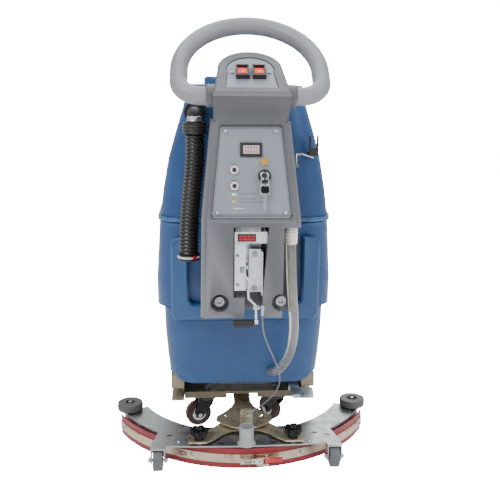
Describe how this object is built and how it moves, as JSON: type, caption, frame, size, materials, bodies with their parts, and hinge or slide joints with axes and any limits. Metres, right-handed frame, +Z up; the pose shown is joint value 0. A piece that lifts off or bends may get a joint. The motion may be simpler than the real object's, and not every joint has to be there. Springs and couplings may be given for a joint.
{
  "type": "wet dry floor scrubber",
  "caption": "Walk-behind wet dry floor scrubber with tilting recovery tank, disc brush deck, lever-lifted curved squeegee, casters and a loop handle with switches.",
  "frame": {"origin": "on the floor, below the centre of the box round the whole machine", "axes": "+X to the right of an operator at the handle, +Y forward towards the brush deck, +Z up"},
  "size_m": [0.72, 1.226, 1.1486],
  "materials": {
    "grey_plastic": "moulded, satin",
    "blue_plastic": "rotomoulded, satin",
    "black_plastic": "satin",
    "black_rubber": "matt",
    "clear_hose": "translucent vinyl",
    "cuff_plastic": "ribbed moulding",
    "panel_steel": "fine texture",
    "red_plastic": "gloss",
    "amber_plastic": "translucent",
    "chrome": "polished",
    "galvanized": "zinc plated",
    "olive_zinc": "yellow zinc, worn",
    "frame_black": "powder coated",
    "cast_grey": "cast, satin",
    "red_rubber": "polyurethane",
    "strap_steel": "stainless strap",
    "grey_rubber": "matt",
    "dark_roller": "moulded",
    "maroon_tyre": "polyurethane tread",
    "bristle": "nylon tufts",
    "battery_case": "moulded"
  },
  "bodies": {
    "chassis": {"main_frame": "frame_black", "rear_plate": "galvanized", "solution_tank": "blue_plastic", "batteries": "battery_case", "control_column": "grey_plastic", "loop_handle": "grey_plastic", "fasteners": "chrome", "switch_plate": "panel_steel", "switch_housings": "black_plastic", "control_panel": "panel_steel", "meter": "black_plastic", "indicator_lamp": "amber_plastic", "panel_collars": "chrome", "lever_bracket": "galvanized", "level_hose": "clear_hose", "level_hose_cuff": "cuff_plastic", "drain_hose": "black_rubber", "drain_fittings": "black_rubber", "drive_axle": "frame_black"},
    "filler_cap": {"filler_cap": "black_plastic"},
    "rocker_left": {"rocker_left": "red_plastic"},
    "rocker_right": {"rocker_right": "red_plastic"},
    "ignition_key": {"ignition_key": "black_plastic"},
    "key_ring": {"key_ring": "chrome"},
    "breaker_button_upper": {"breaker_button_upper": "black_plastic"},
    "breaker_button_lower": {"breaker_button_lower": "black_plastic"},
    "lift_lever": {"lift_lever": "chrome", "lever_grip": "black_plastic"},
    "lift_cable": {"lift_cable": "galvanized", "cable_ends": "chrome"},
    "recovery_tank": {"recovery_tank": "blue_plastic", "vacuum_motor": "cast_grey", "tank_catch": "black_plastic"},
    "recovery_lid": {"recovery_lid": "blue_plastic"},
    "catch_rod": {"catch_rod": "chrome"},
    "scrub_deck": {"scrub_deck": "cast_grey", "brush_motor": "black_plastic", "splash_skirt": "grey_rubber"},
    "scrub_brush": {"scrub_brush": "bristle"},
    "foot_pedal": {"foot_pedal": "galvanized"},
    "squeegee_arm": {"squeegee_arm": "olive_zinc"},
    "squeegee": {"squeegee_yoke": "olive_zinc", "squeegee_plate": "cast_grey", "suction_port": "cast_grey", "rear_blade": "red_rubber", "front_blade": "red_rubber", "blade_strap": "strap_steel"},
    "blade_latch": {"blade_latch": "red_plastic"},
    "drive_wheel_left": {"drive_wheel_left": "grey_rubber"},
    "caster_fork_left": {"caster_fork_left": "frame_black"},
    "caster_wheel_left": {"caster_wheel_left": "maroon_tyre"},
    "knob_left": {"knob_left": "black_plastic"},
    "roller_left": {"roller_left": "dark_roller"},
    "support_wheel_left": {"support_wheel_left": "grey_rubber"},
    "drive_wheel_right": {"drive_wheel_right": "grey_rubber"},
    "caster_fork_right": {"caster_fork_right": "frame_black"},
    "caster_wheel_right": {"caster_wheel_right": "maroon_tyre"},
    "knob_right": {"knob_right": "black_plastic"},
    "roller_right": {"roller_right": "dark_roller"},
    "support_wheel_right": {"support_wheel_right": "grey_rubber"}
  },
  "joints": [
    {"name": "filler_cap_turn", "type": "hinge", "parent": "chassis", "child": "filler_cap", "pos_m": [0, 0.412, 0.584], "axis": [0, 0.908, 0.4191], "range_deg": [0, 90]},
    {"name": "rocker_left_press", "type": "hinge", "parent": "chassis", "child": "rocker_left", "pos_m": [-0.019, -0.52506, 1.01679], "axis": [1, 0, 0], "range_deg": [0, 10]},
    {"name": "rocker_right_press", "type": "hinge", "parent": "chassis", "child": "rocker_right", "pos_m": [0.019, -0.52506, 1.01679], "axis": [1, 0, 0], "range_deg": [0, 10]},
    {"name": "key_turn", "type": "hinge", "parent": "chassis", "child": "ignition_key", "pos_m": [0.03, -0.57833, 0.78425], "axis": [0, 0.964, -0.2661], "range_deg": [0, 90]},
    {"name": "key_ring_swing", "type": "hinge", "parent": "ignition_key", "child": "key_ring", "pos_m": [0.03, -0.59439, 0.78246], "axis": [0, -0.964, 0.2661], "range_deg": [-30, 30]},
    {"name": "breaker_upper_press", "type": "slide", "parent": "chassis", "child": "breaker_button_upper", "axis": [0, 0.964, -0.2661], "range_m": [0, 0.0025], "stiffness_N_per_m": 60},
    {"name": "breaker_lower_press", "type": "slide", "parent": "chassis", "child": "breaker_button_lower", "axis": [0, 0.964, -0.2661], "range_m": [0, 0.0025], "stiffness_N_per_m": 60},
    {"name": "lift_lever_raise", "type": "hinge", "parent": "chassis", "child": "lift_lever", "pos_m": [-0.008, -0.56, 0.566], "axis": [-1, 0, 0], "range_deg": [0, 23]},
    {"name": "cable_follow", "type": "hinge", "parent": "lift_lever", "child": "lift_cable", "pos_m": [0.027, -0.604, 0.478], "axis": [1, 0, 0], "range_deg": [0, 29.9]},
    {"name": "recovery_tank_tilt", "type": "hinge", "parent": "chassis", "child": "recovery_tank", "pos_m": [0, 0.402, 0.648], "axis": [-1, 0, 0], "range_deg": [0, 65]},
    {"name": "recovery_lid_open", "type": "hinge", "parent": "recovery_tank", "child": "recovery_lid", "pos_m": [0, 0.18, 0.993], "axis": [-1, 0, 0], "range_deg": [0, 80]},
    {"name": "catch_rod_swing", "type": "hinge", "parent": "chassis", "child": "catch_rod", "pos_m": [0.112, -0.5, 0.806], "axis": [0, 0, -1], "range_deg": [0, 100]},
    {"name": "foot_pedal_press", "type": "hinge", "parent": "chassis", "child": "foot_pedal", "pos_m": [0.15, -0.268, 0.132], "axis": [1, 0, 0], "range_deg": [0, 18]},
    {"name": "deck_lift", "type": "hinge", "parent": "chassis", "child": "scrub_deck", "pos_m": [0, 0.154, 0.176], "axis": [1, 0, 0], "range_deg": [0, 7]},
    {"name": "brush_spin", "type": "hinge", "parent": "scrub_deck", "child": "scrub_brush", "pos_m": [0, 0.388, 0.03], "axis": [0, 0, 1], "continuous": true},
    {"name": "squeegee_lift", "type": "hinge", "parent": "chassis", "child": "squeegee_arm", "pos_m": [0, -0.15, 0.09], "axis": [-1, 0, 0], "range_deg": [0, 9]},
    {"name": "squeegee_swing", "type": "hinge", "parent": "squeegee_arm", "child": "squeegee", "pos_m": [0, -0.313, 0.08], "axis": [0, 0, 1], "range_deg": [-15, 15]},
    {"name": "blade_latch_open", "type": "hinge", "parent": "squeegee", "child": "blade_latch", "pos_m": [0.051, -0.503, 0.028], "axis": [0, 0, -1], "range_deg": [0, 100]},
    {"name": "drive_wheel_left_spin", "type": "hinge", "parent": "chassis", "child": "drive_wheel_left", "pos_m": [-0.142, 0.02, 0.1], "axis": [1, 0, 0], "continuous": true},
    {"name": "caster_left_swivel", "type": "hinge", "parent": "chassis", "child": "caster_fork_left", "pos_m": [-0.103, -0.22, 0.09], "axis": [0, 0, 1], "continuous": true},
    {"name": "caster_left_roll", "type": "hinge", "parent": "caster_fork_left", "child": "caster_wheel_left", "pos_m": [-0.12799, -0.22717, 0.0375], "axis": [0.2756, -0.9613, 0], "continuous": true},
    {"name": "knob_left_turn", "type": "hinge", "parent": "squeegee", "child": "knob_left", "pos_m": [-0.124, -0.468, 0.09], "axis": [0, 0, 1], "continuous": true},
    {"name": "roller_left_spin", "type": "hinge", "parent": "squeegee", "child": "roller_left", "pos_m": [-0.324, -0.258, 0.078], "axis": [0, 0, 1], "continuous": true},
    {"name": "support_wheel_left_spin", "type": "hinge", "parent": "squeegee", "child": "support_wheel_left", "pos_m": [-0.232, -0.49, 0.0285], "axis": [1, 0, 0], "continuous": true},
    {"name": "drive_wheel_right_spin", "type": "hinge", "parent": "chassis", "child": "drive_wheel_right", "pos_m": [0.142, 0.02, 0.1], "axis": [1, 0, 0], "continuous": true},
    {"name": "caster_right_swivel", "type": "hinge", "parent": "chassis", "child": "caster_fork_right", "pos_m": [0.103, -0.22, 0.09], "axis": [0, 0, 1], "continuous": true},
    {"name": "caster_right_roll", "type": "hinge", "parent": "caster_fork_right", "child": "caster_wheel_right", "pos_m": [0.08699, -0.19951, 0.0375], "axis": [-0.788, -0.6157, 0], "continuous": true},
    {"name": "knob_right_turn", "type": "hinge", "parent": "squeegee", "child": "knob_right", "pos_m": [0.124, -0.468, 0.09], "axis": [0, 0, 1], "continuous": true},
    {"name": "roller_right_spin", "type": "hinge", "parent": "squeegee", "child": "roller_right", "pos_m": [0.324, -0.258, 0.078], "axis": [0, 0, 1], "continuous": true},
    {"name": "support_wheel_right_spin", "type": "hinge", "parent": "squeegee", "child": "support_wheel_right", "pos_m": [0.232, -0.49, 0.0285], "axis": [1, 0, 0], "continuous": true}
  ],
  "couplings": [
    {"joint": "squeegee_lift", "follows": "lift_lever_raise", "ratio": 0.3913},
    {"joint": "cable_follow", "follows": "lift_lever_raise", "ratio": 1.3},
    {"joint": "deck_lift", "follows": "foot_pedal_press", "ratio": 0.38889}
  ]
}
